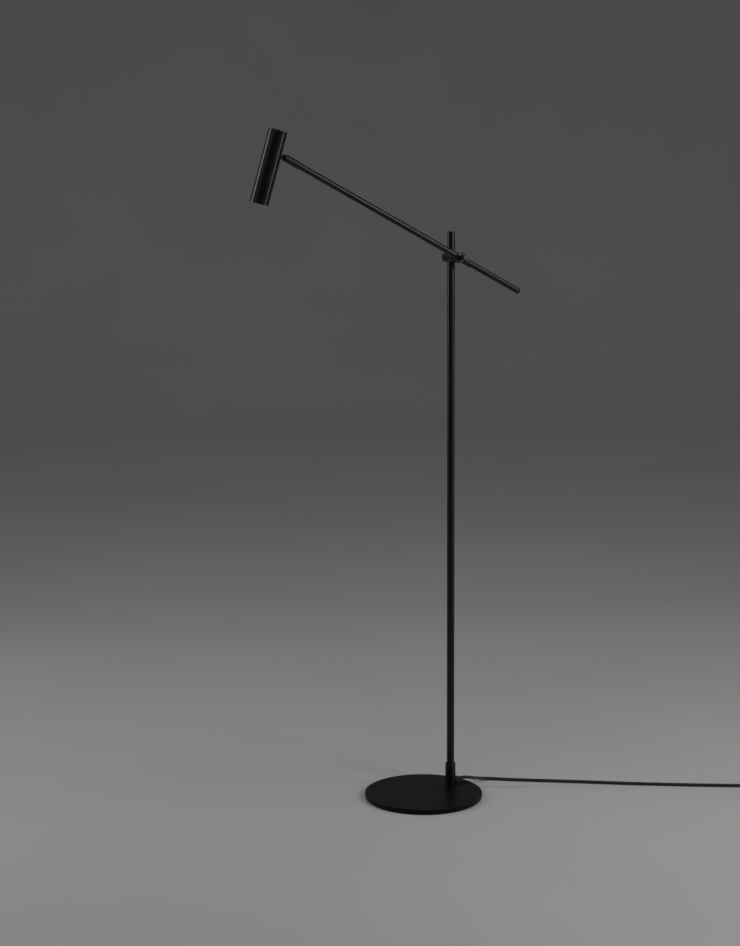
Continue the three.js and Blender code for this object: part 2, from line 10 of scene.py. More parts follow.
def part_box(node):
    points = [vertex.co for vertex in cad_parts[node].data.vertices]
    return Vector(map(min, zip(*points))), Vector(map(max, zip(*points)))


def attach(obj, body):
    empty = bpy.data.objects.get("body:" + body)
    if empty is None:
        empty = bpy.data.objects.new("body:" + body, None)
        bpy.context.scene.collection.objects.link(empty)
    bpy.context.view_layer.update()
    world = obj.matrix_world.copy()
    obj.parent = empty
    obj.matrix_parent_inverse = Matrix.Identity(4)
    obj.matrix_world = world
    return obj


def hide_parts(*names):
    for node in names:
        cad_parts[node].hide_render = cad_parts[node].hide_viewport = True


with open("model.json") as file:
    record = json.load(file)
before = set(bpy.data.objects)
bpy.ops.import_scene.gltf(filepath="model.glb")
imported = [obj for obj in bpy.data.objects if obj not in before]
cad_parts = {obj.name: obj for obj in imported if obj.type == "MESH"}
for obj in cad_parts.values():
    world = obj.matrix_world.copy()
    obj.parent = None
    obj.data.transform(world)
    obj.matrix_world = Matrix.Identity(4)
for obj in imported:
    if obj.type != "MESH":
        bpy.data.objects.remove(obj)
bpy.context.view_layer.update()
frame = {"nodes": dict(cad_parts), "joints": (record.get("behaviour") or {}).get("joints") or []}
scene = bpy.context.scene
joints = {joint["name"]: joint for joint in frame["joints"]}

# ---- Sizes: turned outlines are in millimetres, and places in the room in metres -----------

MM = 0.001
GAP = 0.3                               # between pieces that touch on the real lamp

BASE_R = 125
BASE_LOW = 1.3
BASE_TOP = 11
FOOT_STUB_R = 5
NUT_POCKET_TOP = 6.6

POLE_R = 8
POLE_BORE = 6.5
POLE_FOOT = 22.3
POLE_TOP = 1198.3

SLEEVE_R = 11
SLEEVE_TOP = 54
SET_SCREW_HEIGHT = 40
GLAND_HEIGHT = 18
GLAND_ANGLE = math.radians(-28)
GLAND_STEM_R = 3.8
GLAND_COLLAR_R = 6.4
GLAND_END = 17                          # from the pole's axis

CLAMP_R = 11
CLAMP_BACK = -11.7                      # along the clamp's axis, from the pole's
CLAMP_FRONT = 26
WIRE_DROP = 6
REAR_KNOB_R = 10.3
REAR_KNOB_BACK = -23
TILT_KNOB_R = 5
TILT_KNOB_END = 62

ARM_R = 6.5
ARM_BORE = 5
ARM_HEAD_END = -425                     # along the arm, from the clamp's axis
ARM_TAIL = 159
HUB_BACK = -9.3                         # along the clamp's axis, from the arm's
HUB_FRONT = 9.5
HUB_CHAMFER = 2.2
GUIDE_R = 8
GUIDE_LONG = 30.4
GUIDE_SHORT = 11.5

KNUCKLE_R = 7.5
KNUCKLE_NOSE = 7
KNUCKLE_TAIL = 33
PIN_R = 1.5
TONGUE_ROOM = 1.85                      # from the tongue's middle to the slot's side

HEAD_R = 19.2
HEAD_BORE = 17.2
HEAD_LINER_R = 16.9                     # rear cap and bezel, where they enter the tube
HEAD_AXIS_Y = -30.1
HEAD_TOP = 48
HEAD_BOTTOM = -99.3
BEZEL_TOP = -93.8
LENS_R = 14.9
TONGUE_SCREW_Z = 6.8
CAP_SCREW_Y = 10
CAP_SCREW_R = 1.3
BUTTON_R = 3.5

CORD_R = 3.5 * MM
COIL_CENTRE = (0.5052, -0.5495)
COIL_LIFT = 1.3 * MM
COIL_START = math.radians(41.8)
COIL_RADII = (43.5 * MM, 36.4 * MM, 29.3 * MM)
COIL_TURNS_UP = 2.25
TIE_ANGLE = math.radians(-20)
PLUG_PLACE = (0.5146, -0.5994, 0.0093)
PLUG_ANGLE = math.radians(-138.2)
PLUG_PIN_Y = 9.5

CORD_ROUTE = [
    (0.1062, -0.0081, 0.0180), (0.1098, -0.0100, 0.0180), (0.1142, -0.0123, 0.0180),
    (0.1198, -0.0152, 0.0178), (0.1260, -0.0182, 0.0168), (0.1338, -0.0209, 0.0150),
    (0.1432, -0.0227, 0.0124), (0.1538, -0.0235, 0.0096), (0.1638, -0.0247, 0.0070),
    (0.1720, -0.0267, 0.0051), (0.1788, -0.0300, 0.0041), (0.1840, -0.0346, 0.0036),
    (0.1884, -0.0408, 0.0035), (0.1926, -0.0477, 0.0035), (0.1970, -0.0552, 0.0035),
    (0.2084, -0.0732, 0.0035), (0.2206, -0.0914, 0.0035), (0.2457, -0.1271, 0.0035),
    (0.2708, -0.1628, 0.0035), (0.2957, -0.1986, 0.0035), (0.3201, -0.2344, 0.0035),
    (0.3507, -0.2790, 0.0035), (0.3821, -0.3229, 0.0035), (0.4140, -0.3662, 0.0035),
    (0.4465, -0.4091, 0.0035), (0.4730, -0.4429, 0.0035), (0.4994, -0.4759, 0.0035),
    (0.5100, -0.4884, 0.0037), (0.5204, -0.5006, 0.0044),
]

CAMERA_PLACE = (-2.8302, -2.3825, 1.1939)
CAMERA_HEADING = math.radians(-48.186)       # azimuth, 0 looks along +Y
CAMERA_PITCH = math.radians(-7.625)
CAMERA_ROLL = math.radians(-0.27)
CAMERA_LENS_MM = 68.0


# ---- The lamp's own frames, worked out from its joints ---------------------------------------

def frame_from(origin, x=None, y=None, z=None):
    """A right-handed frame at a point from any two of its axes."""
    if x is None:
        x = Vector(y).cross(Vector(z))
    if y is None:
        y = Vector(z).cross(Vector(x))
    if z is None:
        z = Vector(x).cross(Vector(y))
    rows = Matrix((Vector(x).normalized(), Vector(y).normalized(), Vector(z).normalized()))
    return Matrix.Translation(Vector(origin)) @ rows.transposed().to_4x4()


def moved(x, y, z):
    """A shift in millimetres."""
    return Matrix.Translation((x * MM, y * MM, z * MM))


UP = Vector((0, 0, 1))
CLAMP_AXIS = Vector(joints["arm_tilt"]["axis"])
ARM_AXIS = Vector(joints["head_turn"]["axis"])
PIN_AXIS = Vector(joints["head_tilt"]["axis"])
HEAD_AXIS = -Vector(joints["switch_press"]["axis"])
POLE_PLACE = Vector(joints["clamp_swivel"]["pos_m"])

POLE = Matrix.Translation((POLE_PLACE.x, 0, 0))
CLAMP = frame_from(POLE_PLACE, x=CLAMP_AXIS, z=UP)
ARM = frame_from(joints["arm_tilt"]["pos_m"], x=CLAMP_AXIS, y=-ARM_AXIS)
KNUCKLE = frame_from(joints["head_turn"]["pos_m"], x=PIN_AXIS, y=-ARM_AXIS)
HEAD = frame_from(joints["head_turn"]["pos_m"], x=PIN_AXIS, z=HEAD_AXIS)
SHELL = HEAD @ moved(0, HEAD_AXIS_Y, 0)
PLUG = Matrix.Translation(PLUG_PLACE) @ Matrix.Rotation(PLUG_ANGLE, 4, "Z")
GLAND = POLE @ moved(0, 0, GLAND_HEIGHT) @ Matrix.Rotation(GLAND_ANGLE, 4, "Z")
Z_ALONG_X = Matrix.Rotation(math.radians(90), 4, "Y")
Z_ALONG_Y = Matrix.Rotation(math.radians(-90), 4, "X")


# ---- Materials ------------------------------------------------------------------------------

class Look:
    """A material under construction: a Principled shader and the nodes that feed it."""

    def __init__(self, name, **values):
        self.material = bpy.data.materials.new(name)
        self.material.use_nodes = True
        self.tree = self.material.node_tree
        self.shader = self.tree.nodes["Principled BSDF"]
        for socket, value in values.items():
            self.shader.inputs[socket.replace("_", " ")].default_value = value
        self.coordinates = self.node("ShaderNodeTexCoord").outputs["Object"]

    def node(self, kind, inputs=None, **settings):
        made = self.tree.nodes.new(kind)
        for key, value in settings.items():
            setattr(made, key, value)
        for key, value in (inputs or {}).items():
            if isinstance(value, bpy.types.NodeSocket):
                self.tree.links.new(value, made.inputs[key])
            else:
                made.inputs[key].default_value = value
        return made

    def noise(self, scale, detail=3.0, roughness=0.55, coordinates=None):
        found = self.coordinates if coordinates is None else coordinates
        inputs = {"Vector": found, "Scale": scale, "Detail": detail, "Roughness": roughness}
        return self.node("ShaderNodeTexNoise", inputs).outputs["Fac"]

    def ramp(self, factor, low, high, start, end):
        """A colour that runs from start to end as factor goes from low to high."""
        made = self.node("ShaderNodeValToRGB", {"Fac": factor})
        stops = made.color_ramp.elements
        stops[0].position, stops[0].color = low, (*start, 1)
        stops[1].position, stops[1].color = high, (*end, 1)
        return made.outputs["Color"]

    def spread(self, factor, low, high, start, end):
        """A number that runs from start to end as factor goes from low to high."""
        inputs = {"Value": factor, "From Min": low, "From Max": high,
                  "To Min": start, "To Max": end}
        return self.node("ShaderNodeMapRange", inputs).outputs["Result"]

    def math(self, operation, first, second=0.0):
        return self.node("ShaderNodeMath", {0: first, 1: second}, operation=operation).outputs[0]

    def link(self, socket, value):
        self.tree.links.new(value, self.shader.inputs[socket])

    def tint(self, factor, low, high, shade, darkest, lightest):
        """Base colour that runs between two strengths of one shade."""
        start, end = [c * darkest for c in shade], [c * lightest for c in shade]
        self.link("Base Color", self.ramp(factor, low, high, start, end))

    def bump(self, height, strength, distance, normal=None):
        inputs = {"Height": height, "Strength": strength, "Distance": distance}
        if normal is not None:
            inputs["Normal"] = normal
        made = self.node("ShaderNodeBump", inputs).outputs["Normal"]
        self.link("Normal", made)
        return made


def powder_coat(name, shade, roughness, grain, gloss):
    """Matt powder coat: a fine, even orange peel with slight changes of sheen."""
    look = Look(name, Metallic=0.0, Specular_IOR_Level=gloss)
    broad = look.noise(26.0, 4.0)
    fine = look.noise(1500.0, 3.0, 0.6)
    peel = look.noise(420.0, 2.0)
    look.tint(broad, 0.35, 0.7, shade, 0.82, 1.2)
    patchy = look.math("ADD", look.math("MULTIPLY", broad, 0.6), look.math("MULTIPLY", fine, 0.4))
    look.link("Roughness", look.spread(patchy, 0.3, 0.7, roughness - 0.05, roughness + 0.07))
    first = look.bump(peel, 0.10 * grain, 0.0004)
    look.bump(fine, 0.16 * grain, 0.00012, first)
    return look.material


def satin_lacquer(name, shade, axis):
    """Smooth satin lacquer on drawn tube, with faint marks along the tube."""
    look = Look(name, Metallic=0.0, Specular_IOR_Level=0.3, Coat_Weight=0.06, Coat_Roughness=0.2)
    turn = axis.to_track_quat("Z", "Y").inverted().to_euler()
    turned = look.node("ShaderNodeMapping", {"Vector": look.coordinates, "Rotation": turn})
    stretched = look.node("ShaderNodeMapping", {"Vector": turned.outputs[0], "Scale": (1, 1, 0.03)})
    marks = look.noise(900.0, 3.0, 0.6, stretched.outputs[0])
    cloud = look.noise(14.0, 3.0)
    look.tint(cloud, 0.3, 0.75, shade, 0.85, 1.18)
    look.link("Roughness", look.spread(marks, 0.3, 0.7, 0.27, 0.36))
    first = look.bump(look.noise(500.0, 2.0), 0.05, 0.0003)
    look.bump(marks, 0.05, 0.00008, first)
    return look.material


def turned_metal(name, shade, roughness):
    """Machined metal with fine tool marks and a little tarnish."""
    look = Look(name, Metallic=1.0)
    marks = look.noise(2600.0, 3.0, 0.65)
    cloud = look.noise(160.0, 3.0)
    look.tint(cloud, 0.3, 0.75, shade, 0.85, 1.0)
    look.link("Roughness", look.spread(marks, 0.25, 0.75, roughness - 0.05, roughness + 0.1))
    look.bump(marks, 0.08, 0.00006)
    return look.material


def moulded(name, shade, roughness, grain):
    """Moulded plastic or rubber with a spark-eroded grain."""
    look = Look(name, Metallic=0.0, Specular_IOR_Level=0.4)
    grainy = look.noise(1900.0, 4.0, 0.7)
    cloud = look.noise(60.0, 2.0)
    look.tint(cloud, 0.3, 0.7, shade, 0.85, 1.15)
    look.link("Roughness", look.spread(grainy, 0.3, 0.7, roughness - 0.06, roughness + 0.08))
    look.bump(grainy, grain, 0.00015)
    return look.material


def braid(name, shade, strands_round=8.0, pitch=0.018):
    """Braided textile: two sets of strands that cross over and under each other round the cord; its
    colour carries painted shade in the gaps between strands and painted light on the strand crowns.
    """
    look = Look(name, Metallic=0.0, Specular_IOR_Level=0.25, Sheen_Weight=0.35, Sheen_Roughness=0.5)
    look.shader.inputs["Sheen Tint"].default_value = (0.6, 0.6, 0.62, 1)
    place = look.node("ShaderNodeUVMap", uv_map="cord")
    parts = look.node("ShaderNodeSeparateXYZ", {"Vector": place.outputs["UV"]})
    around = look.math("MULTIPLY", parts.outputs["X"], strands_round)
    along = look.math("MULTIPLY", parts.outputs["Y"], strands_round / pitch)
    right = look.math("ADD", around, along)
    left = look.math("SUBTRACT", around, along)

    def strand(position):
        wave = look.math("SINE", look.math("MULTIPLY", position, 2 * math.pi))
        return look.math("ABSOLUTE", wave)

    checker = look.math("MULTIPLY", look.math("SINE", look.math("MULTIPLY", right, math.pi)),
                        look.math("SINE", look.math("MULTIPLY", left, math.pi)))
    over = look.spread(checker, -0.25, 0.25, 0.0, 1.0)
    first = look.math("MULTIPLY", strand(right), over)
    second = look.math("MULTIPLY", strand(left), look.math("SUBTRACT", 1.0, over))
    height = look.math("ADD", first, second)
    fibre = look.noise(5200.0, 2.0, 0.7)
    fuzz_and_painted_shade = look.math("ADD", height, look.math("MULTIPLY", fibre, 0.35))
    # Colour follows the weave's height: painted shade in the gaps between strands, painted light on
    # the strand crowns; the fibre noise adds real tone.
    look.tint(fuzz_and_painted_shade, 0.2, 1.1, shade, 0.2, 2.2)
    look.link("Roughness", look.spread(fibre, 0.3, 0.7, 0.82, 0.95))
    look.bump(fuzz_and_painted_shade, 1.0, 0.0006)
    return look.material


def webbing(name, shade):
    """Hook-and-loop strap: short loops, matt."""
    look = Look(name, Metallic=0.0, Specular_IOR_Level=0.2, Sheen_Weight=0.5, Sheen_Roughness=0.6)
    loops = look.noise(1700.0, 5.0, 0.8)
    look.tint(loops, 0.3, 0.75, shade, 0.5, 1.6)
    look.link("Roughness", look.spread(loops, 0.3, 0.7, 0.85, 0.97))
    look.bump(loops, 0.8, 0.0005)
    return look.material


def opal(name):
    """Satin opal diffuser with a faint moulding mottle."""
    look = Look(name, Metallic=0.0, Subsurface_Weight=0.3, Subsurface_Scale=0.004)
    look.shader.inputs["Subsurface Radius"].default_value = (1.0, 0.95, 0.85)
    mottle = look.noise(700.0, 3.0)
    look.link("Base Color", look.ramp(mottle, 0.3, 0.7, (0.80, 0.79, 0.76), (0.88, 0.87, 0.84)))
    look.link("Roughness", look.spread(mottle, 0.3, 0.7, 0.38, 0.5))
    look.bump(mottle, 0.1, 0.0002)
    return look.material


def circuit_board(name):
    """Green solder mask over copper tracks."""
    look = Look(name, Metallic=0.0, Coat_Weight=0.4, Coat_Roughness=0.2)
    tracks = look.node("ShaderNodeTexBrick", {"Vector": look.coordinates, "Scale": 260.0,
                                              "Mortar Size": 0.03})
    look.link("Base Color", look.ramp(tracks.outputs["Fac"], 0.3, 0.6, (0.010, 0.055, 0.025),
                                      (0.03, 0.13, 0.06)))
    look.link("Roughness", look.spread(look.noise(900.0), 0.3, 0.7, 0.35, 0.5))
    look.bump(tracks.outputs["Fac"], 0.2, 0.0001)
    return look.material


BLACK = (0.0030, 0.0030, 0.0032)
BASE_COAT = powder_coat("base_coat", (0.0022, 0.0022, 0.0024), 0.32, 0.8, 0.12)
MATT_COAT = powder_coat("matt_coat", BLACK, 0.38, 1.0, 0.34)
HEAD_COAT = powder_coat("head_coat", (0.0018, 0.0018, 0.0020), 0.24, 0.6, 0.36)
POLE_SATIN = satin_lacquer("pole_satin", (0.0018, 0.0018, 0.0020), UP)
ARM_SATIN = satin_lacquer("arm_satin", (0.0020, 0.0020, 0.0022), ARM_AXIS)
BUTTON = moulded("button_black", (0.014, 0.014, 0.015), 0.35, 0.08)
STEEL = turned_metal("steel", (0.50, 0.50, 0.51), 0.3)
DARK_STEEL = turned_metal("dark_steel", (0.11, 0.11, 0.115), 0.34)
NICKEL = turned_metal("satin_nickel", (0.30, 0.298, 0.29), 0.36)
DARK_NICKEL = turned_metal("dark_nickel", (0.043, 0.042, 0.041), 0.33)
ALUMINIUM = turned_metal("bare_aluminium", (0.72, 0.73, 0.74), 0.33)
RUBBER = moulded("rubber", (0.011, 0.011, 0.011), 0.62, 0.3)
PLASTIC = moulded("black_plastic", (0.014, 0.014, 0.0145), 0.48, 0.22)
NYLON = moulded("nylon", (0.62, 0.61, 0.57), 0.45, 0.1)
TEXTILE = braid("textile_cord", (0.0085, 0.0085, 0.009))
LEAD = moulded("inner_lead", (0.02, 0.02, 0.02), 0.5, 0.1)
STRAP = webbing("strap", (0.012, 0.012, 0.013))
OPAL = opal("opal_lens")
PHOSPHOR = moulded("phosphor", (0.72, 0.50, 0.10), 0.4, 0.1)
BOARD = circuit_board("circuit_board")


# ---- Mesh helpers ---------------------------------------------------------------------------

MADE = []


def finish_mesh(name, mesh, material, body, replaced, sharp_angle=35):
    """Shades a mesh, gives it its material and hangs it on its body."""
    mesh.polygons.foreach_set("use_smooth", [True] * len(mesh.polygons))
    mesh.set_sharp_from_angle(angle=math.radians(sharp_angle))
    if not mesh.materials:
        mesh.materials.append(material)
    made = bpy.data.objects.new(name, mesh)
    scene.collection.objects.link(made)
    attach(made, body)
    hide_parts(*replaced)
    MADE.append(made)
    return made


def keep_faces_flat():
    """Flat faces stay flat in the light, right up to their rounded edges."""
    for made in MADE:
        weigh = made.modifiers.new("flat_faces", "WEIGHTED_NORMAL")
        weigh.keep_sharp = True


def mesh_from(name, vertices, faces, place=Matrix.Identity(4)):
    mesh = bpy.data.meshes.new(name)
    mesh.from_pydata([place @ Vector(v) for v in vertices], [], faces)
    return mesh


def arc_corner(before, corner, after, radius, steps):
    """The points of a round corner, or the corner itself where it has no radius."""
    corner_point = Vector(corner)
    to_before = Vector(before) - corner_point
    to_after = Vector(after) - corner_point
    if radius <= 0 or to_before.length < 1e-9 or to_after.length < 1e-9:
        return [tuple(corner_point)]
    angle = to_before.angle(to_after)
    if angle > math.radians(178):
        return [tuple(corner_point)]
    trim = min(radius / math.tan(angle / 2), 0.49 * to_before.length, 0.49 * to_after.length)
    true_radius = trim * math.tan(angle / 2)
    middle = (to_before.normalized() + to_after.normalized()).normalized()
    centre = corner_point + middle * (true_radius / math.sin(angle / 2))
    start = corner_point + to_before.normalized() * trim - centre
    end = corner_point + to_after.normalized() * trim - centre
    points = []
    for i in range(steps + 1):
        share = i / steps
        direction = start.lerp(end, share)
        points.append(tuple(centre + direction.normalized() * true_radius))
    return points


def rounded(outline, steps=4):
    """An outline of (radius, height, corner radius) points, in mm, as (radius, height) in metres.
    An outline that doesn't start on the axis is closed on itself."""
    closed = outline[0][0] > 0
    points = []
    count = len(outline)
    for i, (r, z, corner) in enumerate(outline):
        if not closed and i in (0, count - 1):
            points.append((r, z))
            continue
        before, after = outline[i - 1][:2], outline[(i + 1) % count][:2]
        points += arc_corner(before, (r, z), after, corner, steps)
    return [(r * MM, z * MM) for r, z in points], closed


def lathe_mesh(name, outline, place, segments=128, steps=4, shape=None):
    """A solid of revolution about Z. shape(angle, r, z) may move a point's radius."""
    points, closed = rounded(outline, steps)
    vertices, rings = [], []
    for r, z in points:
        if r < 1e-9:
            rings.append([len(vertices)])
            vertices.append((0, 0, z))
            continue
        ring = []
        for k in range(segments):
            angle = 2 * math.pi * k / segments
            radius = shape(angle, r, z) if shape else r
            ring.append(len(vertices))
            vertices.append((radius * math.cos(angle), radius * math.sin(angle), z))
        rings.append(ring)
    faces = []
    pairs = list(zip(rings, rings[1:]))
    if closed:
        pairs.append((rings[-1], rings[0]))
    for low, high in pairs:
        for k in range(segments):
            n = (k + 1) % segments
            if len(low) == 1 and len(high) == 1:
                break
            if len(low) == 1:
                faces.append((low[0], high[n], high[k]))
            elif len(high) == 1:
                faces.append((low[k], low[n], high[0]))
            else:
                faces.append((low[k], low[n], high[n], high[k]))
    mesh = mesh_from(name, vertices, faces, place)
    face_outwards(mesh)
    return mesh


def face_outwards(mesh):
    work = bmesh.new()
    work.from_mesh(mesh)
    bmesh.ops.recalc_face_normals(work, faces=work.faces)
    work.to_mesh(mesh)
    work.free()


def box_mesh(name, low, high, place, bevel=0.0):
    """A block between two corners, in mm, with round edges of a radius in mm."""
    work = bmesh.new()
    bmesh.ops.create_cube(work, size=1)
    size = Vector(high) - Vector(low)
    middle = (Vector(high) + Vector(low)) / 2
    for vertex in work.verts:
        vertex.co = Vector(a * b for a, b in zip(vertex.co, size)) + middle
    if bevel:
        bmesh.ops.bevel(work, geom=work.edges[:], offset=bevel, segments=3, profile=0.5,
                        affect="EDGES")
    for vertex in work.verts:
        vertex.co = place @ (vertex.co * MM)
    mesh = bpy.data.meshes.new(name)
    work.to_mesh(mesh)
    work.free()
    return mesh


def combined(mesh, others, operation):
    """A mesh with others cut out of it or joined to it."""
    target = bpy.data.objects.new("work_target", mesh)
    scene.collection.objects.link(target)
    tools = []
    for other in others:
        tool = bpy.data.objects.new("work_tool", other)
        scene.collection.objects.link(tool)
        tools.append(tool)
        modifier = target.modifiers.new("work", "BOOLEAN")
        modifier.operation = operation
        modifier.solver = "EXACT"
        modifier.object = tool
    bpy.context.view_layer.update()
    shown = target.evaluated_get(bpy.context.evaluated_depsgraph_get())
    result = bpy.data.meshes.new_from_object(shown)
    result.name = mesh.name
    for used in [target, *tools]:
        bpy.data.objects.remove(used)
    result.materials.clear()
    return result


def cut(mesh, *tools):
    return combined(mesh, tools, "DIFFERENCE")


def join(mesh, *tools):
    return combined(mesh, tools, "UNION")


def rod(radius, low, high, place, segments=48):
    """A plain round bar for cutting, in mm."""
    outline = [(0, low, 0), (radius, low, 0), (radius, high, 0), (0, high, 0)]
    return lathe_mesh("work_rod", outline, place, segments)


def hexagon(across_flats, low, high, place):
    return rod(across_flats / math.sqrt(3), low, high, place, 6)


def soften(made, width_mm, angle=40):
    """Round edges where a cut left them sharp."""
    bevel = made.modifiers.new("edges", "BEVEL")
    bevel.width = width_mm * MM
    bevel.segments = 2
    bevel.limit_method = "ANGLE"
    bevel.angle_limit = math.radians(angle)


# ---- Camera, floor and lights ---------------------------------------------------------------

def make_camera():
    data = bpy.data.cameras.new("camera")
    data.lens = CAMERA_LENS_MM
    data.sensor_width = 36
    camera = bpy.data.objects.new("camera", data)
    scene.collection.objects.link(camera)
    heading = Matrix.Rotation(CAMERA_HEADING, 4, "Z")
    pitch = Matrix.Rotation(math.radians(90) + CAMERA_PITCH, 4, "X")
    roll = Matrix.Rotation(CAMERA_ROLL, 4, "Z")
    camera.matrix_world = Matrix.Translation(CAMERA_PLACE) @ heading @ pitch @ roll
    scene.camera = camera


def make_floor():
    look = Look("floor", Metallic=0.0, Specular_IOR_Level=0.2)
    cloud = look.noise(0.9, 3.0)
    look.link("Base Color", look.ramp(cloud, 0.3, 0.7, (0.49, 0.486, 0.482), (0.53, 0.526, 0.522)))
    look.link("Roughness", look.spread(look.noise(40.0), 0.3, 0.7, 0.5, 0.6))
    flat, bend, steps = 7500, 3500, 24
    profile = [(0, 0, 0), (flat, 0, 0)]
    for i in range(1, steps + 1):
        angle = math.pi / 2 * i / steps
        profile.append((flat + bend * math.sin(angle), bend * (1 - math.cos(angle)), 0))
    mesh = lathe_mesh("floor", profile, Matrix.Identity(4), 96)
    mesh.polygons.foreach_set("use_smooth", [True] * len(mesh.polygons))
    mesh.materials.append(look.material)
    floor = bpy.data.objects.new("floor", mesh)
    scene.collection.objects.link(floor)


def area_light(name, place, aim, size, power):
    data = bpy.data.lights.new(name, "AREA")
    data.shape = "RECTANGLE"
    data.size, data.size_y = size
    data.energy = power
    made = bpy.data.objects.new(name, data)
    scene.collection.objects.link(made)
    direction = Vector(aim) - Vector(place)
    turn = direction.to_track_quat("-Z", "Y").to_matrix().to_4x4()
    made.matrix_world = Matrix.Translation(place) @ turn


def seen_from_camera(across, away, up):
    """A place given in metres to the right of the lamp, away from the camera, and up."""
    turn = Matrix.Rotation(CAMERA_HEADING, 3, "Z")
    flat = turn @ Vector((across, away, 0))
    return (flat.x, flat.y, up)


# Name, place as seen_from_camera takes it, width and height in metres, watts.
LIGHTS = [
    ("left_edge", (-2.4, 0.1, 1.6), (0.32, 2.0), 15),
    ("left_panel", (-1.9, -1.4, 1.95), (1.6, 1.4), 1.5),
    ("right_panel", (2.0, -1.5, 1.65), (0.8, 0.6), 18),
    ("right_edge", (2.45, -0.4, 1.35), (0.4, 2.4), 13),
    ("top_panel", (0.25, -0.3, 3.6), (0.8, 0.7), 14),
]
LIGHTS_AIM = (0.05, 0, 1.0)


def make_lights():
    world = bpy.data.worlds.new("world")
    world.use_nodes = True
    background = world.node_tree.nodes["Background"]
    background.inputs["Color"].default_value = (0.80, 0.80, 0.81, 1)
    background.inputs["Strength"].default_value = 0.18
    scene.world = world
    scene.view_settings.view_transform = "Standard"
    for name, place, size, watts in LIGHTS:
        area_light(name, seen_from_camera(*place), LIGHTS_AIM, size, watts)


# ---- Base, foot and pole --------------------------------------------------------------------

def make_base():
    disc = lathe_mesh("base_disc", [
        (0, BASE_LOW, 0), (BASE_R - 0.8, BASE_LOW, 0), (BASE_R, BASE_LOW + 0.8, 0.3),
        (BASE_R, BASE_TOP, 0.9), (0, BASE_TOP, 0),
    ], Matrix.Identity(4), 256, 6)
    pocket = rod(13, 0, NUT_POCKET_TOP, POLE, 64)
    hole = rod(FOOT_STUB_R + 0.4, 0, BASE_TOP + 3, POLE, 48)
    disc = cut(disc, pocket, hole)
    finish_mesh("base_plate", disc, BASE_COAT, "base", ["base_disc"])


def make_foot():
    stub_low, chamber_r, chamber_low = 1.7, 5, 14
    sleeve = lathe_mesh("foot_sleeve", [
        (0, stub_low, 0), (FOOT_STUB_R, stub_low, 0.4), (FOOT_STUB_R, BASE_TOP + GAP, 0),
        (SLEEVE_R, BASE_TOP + GAP, 0.25), (SLEEVE_R, SLEEVE_TOP, 0.8),
        (POLE_R + GAP, SLEEVE_TOP, 0.2), (POLE_R + GAP, POLE_FOOT - GAP, 0),
        (chamber_r, POLE_FOOT - GAP, 0), (chamber_r, chamber_low, 0), (0, chamber_low, 0),
    ], POLE, 128, 5)
    gland_hole = rod(GLAND_STEM_R + GAP, 3, 14, GLAND @ Z_ALONG_X)
    screw_hole = rod(2.5, 7, 13, POLE @ moved(0, 0, SET_SCREW_HEIGHT) @ Z_ALONG_Y)
    sleeve = cut(sleeve, gland_hole, screw_hole)
    made = finish_mesh("foot_sleeve", sleeve, MATT_COAT, "base", ["pole_foot_sleeve"])
    soften(made, 0.15)


def make_gland():
    """The strain relief: a rubber collar saddled to the foot sleeve, on a stem."""
    start, nose_start = 5.5, 13.1
    gland = lathe_mesh("cable_gland", [
        (0, start, 0), (GLAND_COLLAR_R, start, 0), (GLAND_COLLAR_R, nose_start, 0.6),
        (5.6, nose_start + 0.9, 0.5), (4.6, nose_start + 2.2, 0.8), (4.2, GLAND_END, 0.3),
        (0, GLAND_END, 0),
    ], GLAND @ Z_ALONG_X, 96)
    saddle_low, saddle_high = -9, 9
    saddle = lathe_mesh("work_saddle", [
        (4, saddle_low, 0), (SLEEVE_R + GAP, saddle_low, 0), (SLEEVE_R + GAP, saddle_high, 0),
        (4, saddle_high, 0),
    ], GLAND, 128, 1)
    stem = rod(GLAND_STEM_R, start, 14, GLAND @ Z_ALONG_X)
    gland = join(cut(gland, saddle), stem)
    finish_mesh("strain_relief", gland, RUBBER, "base", ["cable_gland"])


def make_pole():
    tube_top = POLE_TOP - 2.5
    tube = lathe_mesh("pole", [
        (POLE_BORE, POLE_FOOT, 0), (POLE_R, POLE_FOOT, 0.2), (POLE_R, tube_top, 0.15),
        (POLE_BORE, tube_top, 0),
    ], POLE, 128, 3)
    # The wire crosses from the pole to the clamp here, wherever the clamp is turned.
    half_height = 2.3
    slot = box_mesh("work_slot", (0.6, -9, -half_height), (9, 9, half_height),
                    CLAMP @ moved(0, 0, -WIRE_DROP))
    finish_mesh("pole", cut(tube, slot), POLE_SATIN, "base", ["pole_tube"])
    cap_low, plug_low, plug_r = POLE_TOP - 2.2, POLE_TOP - 9, POLE_BORE - GAP
    cap = lathe_mesh("pole_cap", [
        (0, plug_low, 0), (plug_r, plug_low, 0.3), (plug_r, cap_low, 0), (POLE_R, cap_low, 0.15),
        (POLE_R, POLE_TOP, 1.3), (0, POLE_TOP, 0),
    ], POLE, 128, 6)
    finish_mesh("pole_cap", cap, POLE_SATIN, "base", ["pole_top_cap"])


# ---- Cord, coil, tie and plug ---------------------------------------------------------------

def through(points, spacing):
    """Points along a smooth curve through the given ones, a set distance apart or less."""
    line = [Vector(p) for p in points]
    line = [2 * line[0] - line[1], *line, 2 * line[-1] - line[-2]]
    made = []
    for a, b, c, d in zip(line, line[1:], line[2:], line[3:]):
        steps = max(1, math.ceil((c - b).length / spacing))
        for i in range(steps):
            t = i / steps
            made.append(0.5 * (2 * b + (c - a) * t + (2 * a - 5 * b + 4 * c - d) * t ** 2
                               + (3 * b - a - 3 * c + d) * t ** 3))
    made.append(line[-2])
    return made


def ease(share):
    share = min(1.0, max(0.0, share))
    return share * share * (3 - 2 * share)


